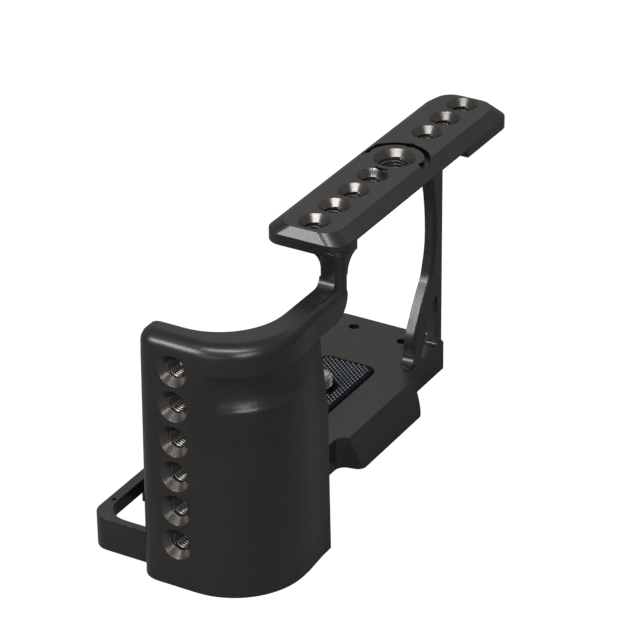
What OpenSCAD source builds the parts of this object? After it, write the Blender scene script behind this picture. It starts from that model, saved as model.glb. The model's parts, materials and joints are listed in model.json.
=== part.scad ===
// Half cage for a small mirrorless camera: a base plate under the camera, a
// shell round its handgrip, a side arm beside the lens, and a top bar with
// threaded holes. Everything is measured from the datum, which is the axis of
// the camera screw at the level of the base plate's top face.
// x runs to the arm, y to the camera's back, z up.

/* [Base plate] */
// Datum to the left-hand end of the base plate
base_left = 86; // [84:0.5:96]
// Datum to the right-hand end of the base plate
base_right = 41.3; // [40:0.1:50]
// Datum to the rear edge
base_rear = 19.85; // [18:0.05:26]
// Datum to the front edge
base_front = 17.2; // [16.5:0.1:18.5]
// Thickness of the base plate
base_thick = 9.5; // [9.5:0.5:13]
// Corner radius at the back of the base plate
base_corner = 5; // [2:0.5:8]
// Width of the bridge behind the battery opening
rim_wide = 2.85; // [2:0.05:5]
// Thickness of the bridge behind the battery opening
rim_thick = 4; // [3:0.5:6]
// Thickness of the wall at the left-hand end
end_wall = 2; // [1.6:0.2:3]
// Datum to the right-hand side of the battery opening
door_right = 61; // [58:0.5:66]
// Corner radius of the battery opening
door_corner = 7; // [3:0.5:9]

/* [Front lip] */
// Reach of the lip beyond the front edge, at its foot
lip_reach = 6.5; // [4:0.5:9]
// Reach of the lip beyond the front edge, at its top
lip_top_reach = 2.8; // [1.5:0.1:4]
// Depth of the bevel along the lip's top edge
lip_bevel = 3; // [1:0.5:5]
// Datum to the left-hand end of the lip
lip_left = 19.4; // [15:0.2:24]
// Datum to the right-hand end of the lip
lip_right = 16; // [12:0.2:18]
// Radius where the lip runs out of the front edge
lip_blend = 3; // [1:0.5:3.5]

/* [Grip shell] */
// Distance from the base plate's left-hand end to the outside of the shell's flank
flank_reach = 5.8; // [5:0.2:12]
// Datum to the outside of the grip shell's front
grip_front = 36.2; // [36:0.2:42]
// Datum to the rear end of the left flank
grip_rear = 1.6; // [0:0.2:6]
// Datum to the right-hand end of the shell
grip_right = 56.8; // [54:0.2:58]
// Height of the shell's rim above the base plate's top
grip_top = 62; // [58:1:80]
// Outside corner radius between flank and front
grip_round = 20; // [16:1:22]
// Corner radius at the rear end of the flank
flank_round = 6; // [3:0.5:7]
// Inside corner radius of the shell
hollow_round = 18; // [14:1:20]
// Thickness of the rail and of the rim along the front
rail_thick = 6.6; // [6:0.1:9]
// Lean of the outside from foot to rim
draft = 0.8; // [0.2:0.1:1.5]
// Radius of the rim's outer edge on the flank
rim_round = 4; // [2.5:0.5:5]
// Radius of the rim's outer edge at the rail
rail_round = 2; // [1:0.5:3]
// Height of the rail, and of the collar over the finger scoop
rail_high = 8; // [6:0.5:12]
// Depth of the finger scoop under the collar
scoop_depth = 2; // [1:0.1:2.6]
// Height of the finger scoop at the right-hand end
scoop_high = 21; // [15:1:30]

/* [Top bar] */
// Top of the bar above the base plate's top
bar_top = 76; // [72:1:100]
// Thickness of the bar
bar_thick = 5.5; // [5:0.5:9]
// Datum to the left-hand end of the bar
bar_left = 48.7; // [48:0.1:52]
// Datum to the right-hand end of the bar
bar_right = 44.3; // [43:0.1:50]
// Width of the bar
bar_wide = 23.4; // [22:0.2:26]
// Datum to the bar's middle line
bar_mid = 23.1; // [22:0.1:25]
// Corner radius of the bar in plan
bar_corner = 5; // [3:0.5:7]
// Depth of the bevel round the top face
bevel_drop = 2.5; // [1:0.5:3]
// Width of the bevel along the sides
bevel_side = 3.4; // [1.5:0.1:4]
// Width of the bevel at the ends
bevel_end = 1.5; // [1:0.1:3]
// Distance between neighbouring accessory holes
hole_pitch = 10; // [9.5:0.5:11]
// Datum to the first accessory hole towards the arm
hole_first = 17.9; // [17.5:0.1:18.5]
// Datum to the first accessory hole towards the grip
hole_inner = 11.9; // [11.5:0.1:12.3]
// Width of the post under the bar's left-hand end
post_wide = 3; // [2.4:0.2:4]

/* [Side arm] */
// Datum to the front face of the arm
arm_front = 16.3; // [16:0.1:17]
// Thickness of the arm
arm_thick = 3.4; // [2.6:0.2:5]
// Datum to the right-hand edge of the arm
arm_right = 39.9; // [39:0.1:45]
// Width of the strip beside the triangular window
arm_strip = 2.5; // [2:0.1:4]
// Radius of the arm's curve beside the lens
arm_curve = 64; // [56:1:80]
// Datum to the widest point of the curve beside the lens
curve_reach = 35.95; // [33:0.05:36.5]
// Height of that point above the base plate's top
curve_high = 36.3; // [34:0.1:42]
// Width of the arm's foot
foot_wide = 17.5; // [15:0.5:20]
// Height of the triangular window
window_high = 17.5; // [12:0.5:18]

/* [Camera screw] */
// Outside diameter of the camera thread
screw_dia = 6.35; // [6.35:0.01:6.35]
// Height of the screw tip above the base plate's top
screw_stand = 5; // [4:0.5:7]
// Diameter of the plain neck
neck_dia = 4.9; // [4.5:0.1:5]
// Diameter of the screw head
head_dia = 12.8; // [10:0.2:14]
// Height of the screw head
head_high = 3.1; // [2.6:0.1:3.4]
// Distance the screw drops in its counterbore
screw_drop = 3.6; // [2:0.2:3.8]
// Length and width of the rubber pad
pad_size = [33.3, 16.7]; // [10:0.1:60]
// Thickness of the rubber pad
pad_thick = 1; // [0.8:0.1:1.5]
// Diameter of the hole in the pad
pad_hole = 8; // [7:0.5:10]

/* [Fasteners] */
// Bore of a 1/4 inch thread
quarter_bore = 5.1; // [5.1:0.05:5.3]
// Bore of a 3/8 inch thread
three_eighth_bore = 8; // [7.9:0.05:8.2]
// Diameter of the screws that hold the arm, bar and shell
bolt_dia = 3; // [2.5:0.5:3]
// Head diameter of those screws
bolt_head = 5.6; // [5:0.1:6]
// Diameter of the two screws in the rail and the one in the end wall
small_bolt = 2.5; // [2:0.5:2.5]
// Head diameter of the small screws
small_head = 4.4; // [3.8:0.1:4.6]
// Diameter of the locating dowels
dowel_dia = 2.5; // [2:0.5:3]

/* [Hidden] */
$fn = 48;

// Clearances, and the overrun of every cut
fit = 0.05;
loose = 0.2;
over = 1;

// Finishes
anodised = "#2b2a2a";
steel = "#8d8f92";
black_steel = "#3c3d40";
rubber = "#17181c";
nylon = "#d8d6cf";

// Datum to the outside of the grip shell's left flank
grip_left = base_left + flank_reach;

// The part stands on the base plate's underside, centred on its outside box
mid_x = (grip_left - bar_right) / 2;
mid_y = (grip_front - base_rear) / 2;

// Levels and planes
bar_low = bar_top - bar_thick;
rail_low = grip_top - rail_high;
rail_front = bar_mid + bar_wide / 2;
rail_back = rail_front - rail_thick;
arm_back = arm_front - arm_thick;
door_left = base_left - end_wall;
foot_left = base_right - foot_wide;

// Threaded holes: bevel at the mouth of an accessory hole, and of a hidden one
mouth = 1.75;
small_mouth = 0.5;
tripod_deep = 6.5;
// Tripod holes in the underside, from the datum to the left, to the right and behind
tripod_left = 36;
tripod_middle = 20;
tripod_right = 20;
tripod_back = 3;

// Two locating holes in the base plate's top face, and a small one in its bridge
pin_dia = 3;
rear_pin_in = 5.8;
rear_pin_back = 9.6;
rear_pin_deep = 6;
front_pin_in = 6.9;
front_pin_front = 6.6;
front_pin_deep = 3.4;
bridge_pin_dia = 1.3;
bridge_pin_in = 9.3;
bridge_pin_deep = 2.5;
bridge_pin_share = 0.6;
// Place, diameter and depth of each
pin_holes = [
    [base_right - rear_pin_in, rear_pin_back, pin_dia, rear_pin_deep],
    [base_right - front_pin_in, -front_pin_front, pin_dia, front_pin_deep],
    [bridge_pin_in - base_left, base_rear - rim_wide * bridge_pin_share, bridge_pin_dia, bridge_pin_deep]];

// Camera screw: web that keeps it captive, and the pocket for its head
screw_web = 1.4;
washer_thick = 0.45;
pocket_deep = base_thick - screw_drop - loose - screw_web;
pocket_roof = pocket_deep - base_thick;

// Row of accessory holes in the left flank
flank_count = 6;
flank_row = 10.6;
flank_first = 3.2;

// The base plate's end wall reaches into a groove in the flank
groove_back = 8;
end_bolt = 4;
end_bolt_long = 5;

// The shell's foot reaches under the base plate's web
web_thick = base_thick / 2;
web_right = 50;
web_back = 10.5;
// Its screws stand in a row along y, with the dowels either side between them
grip_bolt_front = 4.7;
grip_bolt_rear = 3;
grip_dowel_gap = 5;
grip_bolt_x = -(door_right + web_right) / 2;
grip_bolts = [[grip_bolt_x, grip_bolt_front - rail_back], [grip_bolt_x, -web_back - grip_bolt_rear]];
grip_dowels = [for (side = [-1, 1])
    [grip_bolt_x + side * grip_dowel_gap / 2, (grip_bolts[0][1] + grip_bolts[1][1]) / 2]];

// The arm's tongue reaches under the base plate
tongue_thick = 4.2;
tongue_deep = 16;
tongue_in = 2;
tongue_left = foot_left + tongue_in;
tongue_right = base_right - tongue_in;
tongue_rear = tongue_deep - arm_back;
// Its screws and dowels, measured in from its sides and from its rear or front end
arm_bolt_in = [2.1, 2.3];
arm_bolt_row = 4.3;
arm_dowel_in = [2.8, 2.7];
arm_dowel_rows = [3.7, 1.9];
arm_bolts = [
    [tongue_left + arm_bolt_in[0], tongue_rear - arm_bolt_row],
    [tongue_right - arm_bolt_in[1], tongue_rear - arm_bolt_row]];
arm_dowels = [
    [tongue_left + arm_dowel_in[0], arm_dowel_rows[0] - arm_back],
    [tongue_right - arm_dowel_in[1], arm_dowel_rows[1] - arm_back]];

// Depths that stay solid above the hidden screws and dowels
bolt_cover = 1.4;
bar_cover = 1.7;
dowel_cover = 2.2;

// The arm's flange lies under the bar
flange_thick = 4;
flange_reach = 9.7;
flange_long = 20.1;
flange_cove = 3.5;
flange_cove_long = 14.5;
// Its screws and dowels lie half way between the accessory holes, behind the bar's middle line
between_shares = [0.5, 1.5];
bar_bolt_back = 0.6;
bar_dowel_back = 4.9;
bar_bolts = [for (i = between_shares) [hole_first + hole_pitch * i, bar_bolt_back - bar_mid]];
bar_dowels = [for (i = between_shares) [hole_first + hole_pitch * i, bar_dowel_back - bar_mid]];

// The bar's tongue lies in a pocket in the back of the collar
lap_long = 11;
lap_thick = 3.2;
lap_edge = 1.2;
lap_shares = [0.3, 0.76];

/* Outlines and lofts */

function unit(v) = v / norm(v);
function xy(c) = [c[0], c[1]];

// Points of one rounded corner at p, between its neighbours a and b
function corner(a, p, b, r, n) = r <= 0 ? [p] :
    let (u = unit(a - p), v = unit(b - p), half = acos(u * v) / 2,
        c = p + unit(u + v) * r / sin(half),
        s = p + u * r / tan(half) - c, e = p + v * r / tan(half) - c,
        from = atan2(s[1], s[0]),
        turn = (atan2(e[1], e[0]) - from + 540) % 360 - 180)
    [for (i = [0:n]) c + r * [cos(from + turn * i / n), sin(from + turn * i / n)]];

// Closed outline through corners given as [x, y, radius]
function outline(c, n = 8) = [for (i = [0:len(c) - 1])
    each corner(xy(c[(i + len(c) - 1) % len(c)]), xy(c[i]), xy(c[(i + 1) % len(c)]), c[i][2], n)];

// Open path through the same kind of corners
function path(c, n = 16) = [for (i = [0:len(c) - 1]) each (i == 0 || i == len(c) - 1) ? [xy(c[i])] :
    corner(xy(c[i - 1]), xy(c[i]), xy(c[i + 1]), c[i][2], n)];

// Rectangle with round corners, centred
function plate(size, r) = outline([[-size[0] / 2, -size[1] / 2, r], [size[0] / 2, -size[1] / 2, r],
    [size[0] / 2, size[1] / 2, r], [-size[0] / 2, size[1] / 2, r]]);

// Distance along a path up to each of its points
function run(p, i = 0, sum = 0) = i == len(p) - 1 ? [sum] :
    concat([sum], run(p, i + 1, sum + norm(p[i + 1] - p[i])));

// n + 1 points spread evenly along a path
function spread(p, n) = let (d = run(p), last = d[len(d) - 1],
        tx = [for (i = [0:len(p) - 1]) [d[i], p[i][0]]],
        ty = [for (i = [0:len(p) - 1]) [d[i], p[i][1]]])
    [for (i = [0:n]) [lookup(last * i / n, tx), lookup(last * i / n, ty)]];

// Outward direction at each point of a path that has its solid on the left
function outward(p, closed = false) = let (n = len(p)) [for (i = [0:n - 1])
    let (d = unit(p[closed ? (i + 1) % n : min(i + 1, n - 1)] - p[closed ? (i + n - 1) % n : max(i - 1, 0)]))
    [d[1], -d[0]]];

// Smooth step from 0 to 1
function ease(t) = let (c = min(max(t, 0), 1)) c * c * (3 - 2 * c);

function ring(points, z) = [for (p = points) [p[0], p[1], z]];

// Solid through rings of points with equal counts, from the lowest up. In each ring the
// second half runs back beside the first, and a strip between the halves closes each end.
module loft(rings) {
    n = len(rings[0]);
    m = len(rings);
    strip = [for (i = [0:n / 2 - 2]) each [[i, i + 1, n - 1 - i], [i + 1, n - 2 - i, n - 1 - i]]];
    polyhedron(points = [for (r = rings) each r],
        faces = concat(strip,
            [for (k = [0:m - 2], i = [0:n - 1], t = [0, 1]) let (j = (i + 1) % n)
                t == 0 ? [k * n + i, (k + 1) * n + i, (k + 1) * n + j] :
                    [k * n + i, (k + 1) * n + j, k * n + j]],
            [for (f = strip) [for (v = [2, 1, 0]) (m - 1) * n + f[v]]]));
}

// Stands children, drawn about the datum, in the part's own frame
module placed() {
    translate([mid_x, mid_y, base_thick]) children();
}

// Extrudes an outline drawn in x and z from y = from to y = to
module deep(from, to) {
    translate([0, to, 0]) rotate([90, 0, 0]) linear_extrude(to - from) children();
}

// Extrudes an outline drawn in y and z from x = from to x = to
module across(from, to) {
    translate([from, 0, 0]) rotate([90, 0, 90]) linear_extrude(to - from) children();
}

// Section of an inside fillet, in the corner where both sides are positive
module cove(r) {
    difference() {
        translate([-over / 2, -over / 2]) square(r + over / 2);
        translate([r, r]) circle(r);
    }
}

/* Screws, dowels and their seats */

// Hexagon socket of a flat head, across its corners
socket_share = 0.62;

// Countersunk screw along +z, with its flat head face at z = 0
module flat_screw(dia, head, long) {
    sink = (head - dia) / 2;
    difference() {
        union() {
            cylinder(h = sink, d1 = head, d2 = dia);
            cylinder(h = long, d = dia);
        }
        translate([0, 0, -over]) cylinder(h = sink + over, d = dia * socket_share, $fn = 6);
    }
}

// The space that such a screw needs
module flat_seat(dia, head, long) {
    sink = (head - dia) / 2;
    translate([0, 0, -over]) cylinder(h = over, d = head + 2 * fit);
    cylinder(h = sink, d1 = head + 2 * fit, d2 = dia + 2 * fit);
    cylinder(h = long + loose, d = dia + 2 * fit);
}

module dowel(long) {
    cylinder(h = long, d = dowel_dia);
}

module dowel_seat(long) {
    translate([0, 0, -over]) cylinder(h = long + loose + over, d = dowel_dia + 2 * fit);
}

// Blind thread upwards from z = 0
module blind_thread(dia) {
    translate([0, 0, -over]) cylinder(h = tripod_deep + over, d = dia);
    translate([0, 0, -fit]) cylinder(h = small_mouth + fit, d1 = dia + 2 * (small_mouth + fit), d2 = dia);
}

// Moves children to a list of places in the underside
module under(places) {
    for (p = places) translate([p[0], p[1], -base_thick]) children();
}

module end_bolt_place() {
    translate([-door_left, -end_bolt, -web_thick]) rotate([0, -90, 0]) children();
}

module rail_bolt_place(i) {
    translate([-grip_right - lap_long * lap_shares[i], -rail_back, rail_low + rail_high / 2])
        rotate([90, 0, 0]) children();
}

module bar_bolt_place(p) {
    translate([p[0], p[1], bar_low - flange_thick]) children();
}

grip_bolt_long = base_thick - bolt_cover;
rail_bolt_long = rail_thick - bolt_cover;
bar_bolt_long = flange_thick + bar_thick - bar_cover;
dowel_long = base_thick - dowel_cover;
bar_dowel_long = flange_thick + bar_thick / 2;

/* Base plate with its front lip */

// Plan round the battery opening, the arm's foot and the shell's web
base_plan = outline([
    [base_right, -arm_back + fit, 0],
    [base_right, base_rear, base_corner],
    [-base_left, base_rear, base_corner],
    [-base_left, -groove_back, 0],
    [-door_left, -groove_back, 0],
    [-door_left, base_rear - rim_wide, door_corner],
    [-door_right, base_rear - rim_wide, end_wall],
    [-door_right, -rail_back + fit, 0],
    [-web_right, -rail_back + fit, end_wall],
    [-web_right, -base_front, door_corner],
    [foot_left - fit, -base_front, 0],
    [foot_left - fit, -arm_back + fit, 0]]);

// The lip in front runs out of the front edge in a double curve at each end
module lip() {
    low = base_front + lip_reach;
    top = base_front + lip_top_reach;
    end_slant = 0.8;
    nose_slant = 0.5;
    lip_flat = 2.5;
    ease_out = lip_blend + lip_flat;
    intersection() {
        translate([0, 0, -base_thick]) linear_extrude(base_thick) polygon(outline([
            [-lip_left - ease_out, -base_front + over, 0],
            [-lip_left - ease_out, -base_front, 0],
            [-lip_left - end_slant, -base_front, lip_blend],
            [-lip_left + nose_slant, -low, lip_blend - nose_slant],
            [lip_right - nose_slant, -low, lip_blend - nose_slant],
            [lip_right + end_slant, -base_front, lip_blend],
            [lip_right + ease_out, -base_front, 0],
            [lip_right + ease_out, -base_front + over, 0]]));
        across(-lip_left - ease_out - over, lip_right + ease_out + over) polygon([
            [-base_front + over, 0], [-top, 0], [-top - lip_bevel / 2, -lip_bevel],
            [-low, -base_thick], [-base_front + over, -base_thick]]);
    }
}

module base_plate() {
    color(anodised) placed() difference() {
        union() {
            translate([0, 0, -base_thick]) linear_extrude(base_thick) polygon(base_plan);
            lip();
        }
        // The bridge behind the battery opening is thin
        translate([-door_left + 2 * end_wall, base_rear - rim_wide - over, -base_thick - over])
            cube([door_left - 2 * end_wall - door_right, rim_wide + 2 * over, base_thick - rim_thick + over]);
        // Half lap over the shell's foot
        translate([-door_right - over, -rail_back - over, -base_thick - over])
            cube([door_right + over - web_right + fit, rail_back + over - web_back + fit,
                base_thick - web_thick + over + fit]);
        // Pocket for the arm's tongue
        translate([tongue_left - fit, -arm_back - over, -base_thick - over])
            cube([tongue_right - tongue_left + 2 * fit, tongue_deep + over + fit, tongue_thick + over + fit]);
        // Recess for the pad
        translate([0, 0, -pad_thick / 2]) linear_extrude(over)
            polygon(plate([for (side = pad_size) side + 2 * loose], pad_corner + loose));
        // Camera screw: counterbore for the thread, running hole, pocket for the head
        translate([0, 0, -screw_drop - loose])
            cylinder(h = screw_drop + loose + over, d = screw_dia + 4 * loose);
        translate([0, 0, -base_thick]) cylinder(h = base_thick, d = neck_dia + 3 * fit);
        translate([0, 0, -base_thick - over]) cylinder(h = pocket_deep + over, d = head_dia + 6 * loose);
        for (p = pin_holes) translate([p[0], p[1], -p[3]]) cylinder(h = p[3] + over, d = p[2]);
        under(grip_bolts) flat_seat(bolt_dia, bolt_head, grip_bolt_long);
        under(grip_dowels) dowel_seat(dowel_long);
        under(arm_bolts) flat_seat(bolt_dia, bolt_head, grip_bolt_long);
        under(arm_dowels) dowel_seat(dowel_long);
        end_bolt_place() flat_seat(small_bolt, small_head, end_bolt_long);
        under([[-tripod_left, tripod_back], [tripod_right, tripod_back]]) blind_thread(quarter_bore);
        under([[-tripod_middle, tripod_back]]) blind_thread(three_eighth_bore);
    }
}

/* Grip shell */

// Distances from the shell's right-hand end to the corners of the curve into the rail
front_turn = 12;
rail_turn = 4;
// Outside, from the rear end of the flank round to the right-hand end
shell_outer = path([
    [-door_left, grip_rear, 0],
    [-grip_left, grip_rear, flank_round],
    [-grip_left, -grip_front, grip_round],
    [-grip_right - front_turn, -grip_front, grip_round],
    [-grip_right - rail_turn, -rail_front - draft, grip_round],
    [-grip_right, -rail_front - draft, 0]]);
outer_count = 46;
outer_points = spread(shell_outer, outer_count);
outer_normals = outward(outer_points);
// Inside, back to the rear end
shell_inner = spread(path([
    [-grip_right, -rail_back, 0],
    [-door_left, -rail_back, hollow_round],
    [-door_left, grip_rear - rim_round - over, 0]]), outer_count);

// Each row of these tables is a share of the whole, where it sets in along the shell, and over
// which share of the shell it grows: 0 is the rear end of the flank, 1 the right-hand end
rim_shares = [[1, 0.55, 0.45]];
scoop_high_shares = [[0.46, 0.33, 0.12], [0.54, 0.62, 0.36]];
scoop_deep_shares = [[0.6, 0.33, 0.14], [0.4, 0.6, 0.3]];
scoop_soft_shares = [[1, 0.6, 0.3]];
// Powers of the scoop's section: full under the finger, and almost straight at the rail
scoop_full = 3.2;
scoop_straight = 1.1;

function grown(t, rows, i = 0) = i == len(rows) ? 0 :
    rows[i][0] * ease((t - rows[i][1]) / rows[i][2]) + grown(t, rows, i + 1);
function rim_at(t) = rim_round + (rail_round - rim_round) * grown(t, rim_shares);
function scoop_reach(t) = scoop_high * grown(t, scoop_high_shares);
function scoop_in(t) = scoop_depth * grown(t, scoop_deep_shares);
// Section of the scoop: w is 0 under the collar and 1 at its lower edge
function scoop_form(t, w) = w >= 1 ? 0 :
    1 - pow(max(w, 0), scoop_full + (scoop_straight - scoop_full) * grown(t, scoop_soft_shares));
// The outside leans in towards the rim
function lean(z) = draft * (z + base_thick) / (grip_top + base_thick);

// One level of the shell: inset and drop are shares of the rim's radius
function shell_ring(z, scoop = 0, inset = 0, drop = 0) = concat(
    [for (i = [0:outer_count])
        let (t = i / outer_count,
            dip = scoop * scoop_in(t) * scoop_form(t, (rail_low - z) / max(scoop_reach(t), fit)),
            q = outer_points[i] - outer_normals[i] * (lean(z) + dip + rim_at(t) * inset))
        [q[0], q[1], z - rim_at(t) * drop]],
    ring(shell_inner, z - rail_round * drop));

scoop_rings = 10;
rim_rings = 5;
shell_rings = concat(
    [shell_ring(-base_thick)],
    [for (k = [0:scoop_rings]) shell_ring(rail_low - (scoop_high + over) * (1 - k / scoop_rings), 1)],
    [shell_ring(rail_low + fit)],
    [for (k = [0:rim_rings]) let (a = 90 * k / rim_rings) shell_ring(grip_top, 0, 1 - cos(a), 1 - sin(a))]);

module grip_shell() {
    color(anodised) placed() difference() {
        union() {
            loft(shell_rings);
            // Foot under the base plate's web, with a gusset into the shell
            translate([0, 0, -base_thick]) linear_extrude(base_thick - web_thick) polygon(outline([
                [-door_right, -web_back, 0],
                [-door_right, -rail_back, door_corner],
                [-door_right - 2 * end_wall - door_corner, -rail_back, 0],
                [-door_right - 2 * end_wall - door_corner, -rail_back - over, 0],
                [-grip_right - over, -rail_back - over, 0],
                [-grip_right - over, -rail_back, 0],
                [-web_right, -rail_back, end_wall],
                [-web_right, -web_back, 0]]));
        }
        // Groove for the base plate's end wall
        translate([-base_left - fit, -groove_back - fit, -base_thick - over])
            cube([end_wall + over + fit, grip_rear + groove_back + over, base_thick + over + fit]);
        // Pocket for the top bar's tongue
        translate([-grip_right - lap_long - fit, -rail_back - lap_thick - fit, rail_low + lap_edge - fit])
            cube([lap_long + over, lap_thick + over + fit, rail_high - 2 * lap_edge + 2 * fit]);
        // Row of accessory holes
        for (i = [0:flank_count - 1]) let (z = flank_first + i * hole_pitch)
            translate([-grip_left + lean(z), -flank_row, z]) rotate([0, 90, 0]) {
                translate([0, 0, -over]) cylinder(h = grip_left - door_left + 2 * over, d = quarter_bore);
                translate([0, 0, -over])
                    cylinder(h = mouth + over, d1 = quarter_bore + 2 * (mouth + over), d2 = quarter_bore);
            }
        under(grip_bolts) flat_seat(bolt_dia, bolt_head, grip_bolt_long);
        under(grip_dowels) dowel_seat(dowel_long);
        end_bolt_place() flat_seat(small_bolt, small_head, end_bolt_long);
        for (i = [0, 1]) rail_bolt_place(i) flat_seat(small_bolt, small_head, rail_bolt_long);
    }
}

/* Top bar */

relief_left = 40.7;
relief_right = 19.3;
relief_deep = 2.5;
relief_wide = 5.3;
relief_corner = 2.5;
// Locating groove round the centre hole, with round pockets for pins
groove_mean = 8.6;
groove_wide = 1.6;
groove_deep = 1.4;
pin_pocket = 2.6;

bar_holes = concat([for (i = [0:3]) -hole_inner - i * hole_pitch],
    [for (i = [0:2]) hole_first + i * hole_pitch]);

// Plan of the bar, drawn in by a side and an end amount
function bar_plan(side, end) = outline([
    [-bar_left + end, -rail_front + side, bar_corner],
    [bar_right - end, -rail_front + side, bar_corner],
    [bar_right - end, -rail_front + bar_wide - side, bar_corner],
    [-bar_left + end, -rail_front + bar_wide - side, bar_corner]]);

// Hole down from the bar's top face at z = 0
module accessory_hole(dia) {
    translate([0, 0, -bar_thick - over]) cylinder(h = bar_thick + 2 * over, d = dia);
    translate([0, 0, -mouth]) cylinder(h = mouth + over, d1 = dia, d2 = dia + 2 * (mouth + over));
    translate([0, 0, -bar_thick - fit])
        cylinder(h = small_mouth + fit, d1 = dia + 2 * (small_mouth + fit), d2 = dia);
}

// C-shaped groove open towards the grip, with a short slot in the gap
module locating_groove() {
    translate([0, 0, -groove_deep]) linear_extrude(groove_deep + over) {
        difference() {
            circle(groove_mean + groove_wide / 2);
            circle(groove_mean - groove_wide / 2);
            translate([-2 * groove_mean - fit, -2 * groove_mean]) square([2 * groove_mean, 4 * groove_mean]);
        }
        for (a = [-90, 0, 90]) rotate(a) translate([groove_mean, 0]) circle(pin_pocket / 2);
        polygon(concat([for (i = [-3:3]) (groove_mean - groove_wide) * [cos(180 + i * 5), sin(180 + i * 5)]],
            [for (i = [3:-1:-3]) (groove_mean - groove_wide / 2) * [cos(180 + i * 5), sin(180 + i * 5)]]));
    }
}

// Post under the bar's left-hand end, with the rail end that it stands on
module post() {
    side = post_wide - bar_left;
    rail_corner = 6;
    flare = 5;
    foot_cove = 2.6;
    post_edge = 0.6;
    post_rear = 1;
    front_share = 0.75;
    // Post
    translate([0, 0, grip_top - rail_round - over])
        linear_extrude(bar_low - grip_top + rail_round + 2 * over) polygon(outline([
            [-bar_left, -rail_front, post_wide * front_share], [side, -rail_front, post_edge],
            [side, -rail_back, post_edge], [-bar_left, -rail_back, post_rear]]));
    // Rail end, its underside rising into the post
    intersection() {
        deep(-rail_front, -rail_back) polygon(outline([
            [-grip_right, rail_low, 0], [side, rail_low, rail_corner],
            [side, grip_top, 0], [-grip_right, grip_top, 0]]));
        across(-grip_right, side) polygon(outline([[-rail_front, rail_low, 0], [-rail_back, rail_low, 0],
            [-rail_back, grip_top, 0], [-rail_front, grip_top, rail_round]]));
    }
    // Tongue behind the collar
    translate([-grip_right - lap_long, -rail_back - lap_thick, rail_low + lap_edge])
        cube([lap_long + over, lap_thick, rail_high - 2 * lap_edge]);
    // Fillets at the post's foot and under the bar, and the flare towards the lens
    deep(-rail_front + rail_round, -rail_back)
        translate([-bar_left, grip_top]) mirror([1, 0]) cove(foot_cove);
    across(-bar_left + over / 2, side - over / 2)
        translate([-rail_back, bar_low]) mirror([0, 1]) cove(post_wide);
    deep(-rail_front, -rail_back - over / 2)
        translate([side, bar_low]) mirror([0, 1]) cove(flare);
}

module top_bar() {
    color(anodised) placed() difference() {
        union() {
            loft([ring(bar_plan(0, 0), bar_low), ring(bar_plan(0, 0), bar_top - bevel_drop),
                ring(bar_plan(bevel_side, bevel_end), bar_top)]);
            post();
        }
        // Relief along the front of the underside, between the end blocks
        translate([0, 0, bar_low - over]) linear_extrude(relief_deep + over) polygon(outline([
            [-relief_left, -rail_front - over, 0], [relief_right, -rail_front - over, 0],
            [relief_right, -rail_front + relief_wide, relief_corner],
            [-relief_left, -rail_front + relief_wide, relief_corner]]));
        for (x = bar_holes) translate([x, -bar_mid, bar_top]) accessory_hole(quarter_bore);
        translate([0, -bar_mid, bar_top]) {
            accessory_hole(three_eighth_bore);
            locating_groove();
        }
        for (p = bar_bolts) bar_bolt_place(p) flat_seat(bolt_dia, bolt_head, bar_bolt_long);
        for (p = bar_dowels) bar_bolt_place(p) dowel_seat(bar_dowel_long);
        for (i = [0, 1]) rail_bolt_place(i) flat_seat(small_bolt, small_head, rail_bolt_long);
    }
}

/* Side arm */

arm_bevel = 0.8;
// The right-hand edge steps in from the base plate's end between these levels
step_low = 0.9;
step_high = 0.6;
// The strut from the foot to the curve: a point on its edge, and its run over its rise
strut_in = 9.2;
strut_high = 16.8;
strut_share = 0.655;
strut_x = arm_right - strut_in;
// Where the curve ends, and where its line meets the strut's, with the corners' radii
curve_foot = 25.2;
knee_high = 22.7;
knee_round = 8;
heel_round = 12;
curve_x = curve_reach - arm_curve;
curve_steps = 12;
toe_round = 3;
toe_edge = 0.15;
strut_steps = 4;
// As many points up the edge as down the curve and strut
edge_steps = curve_steps + 2 * strut_steps + 1;
// Outline in x and z: right-hand edge upwards, then curve beside the lens, strut and foot
arm_outline = outline(concat(
    [[base_right, -base_thick, 0], [base_right, -step_low, 0], [arm_right, step_high, 0]],
    [for (i = [1:edge_steps]) [arm_right, step_high + (bar_low - step_high) * i / edge_steps, 0]],
    [for (i = [0:curve_steps]) let (z = bar_low + (curve_foot - bar_low) * i / curve_steps)
        [curve_x + sqrt(pow(arm_curve, 2) - pow(z - curve_high, 2)), z, 0]],
    [[strut_x + (knee_high - strut_high) * strut_share, knee_high, knee_round],
        [foot_left, strut_high - (strut_x - foot_left) / strut_share, heel_round],
        [foot_left, -base_thick, 0]]), strut_steps);
arm_normals = outward(arm_outline, true);

// Section of the toe where the arm's left side flares out over the base plate
module arm_toe() {
    difference() {
        translate([-over, 0]) square([toe_round + over, toe_round]);
        translate([toe_round, toe_round + toe_edge]) circle(toe_round);
    }
}

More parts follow.
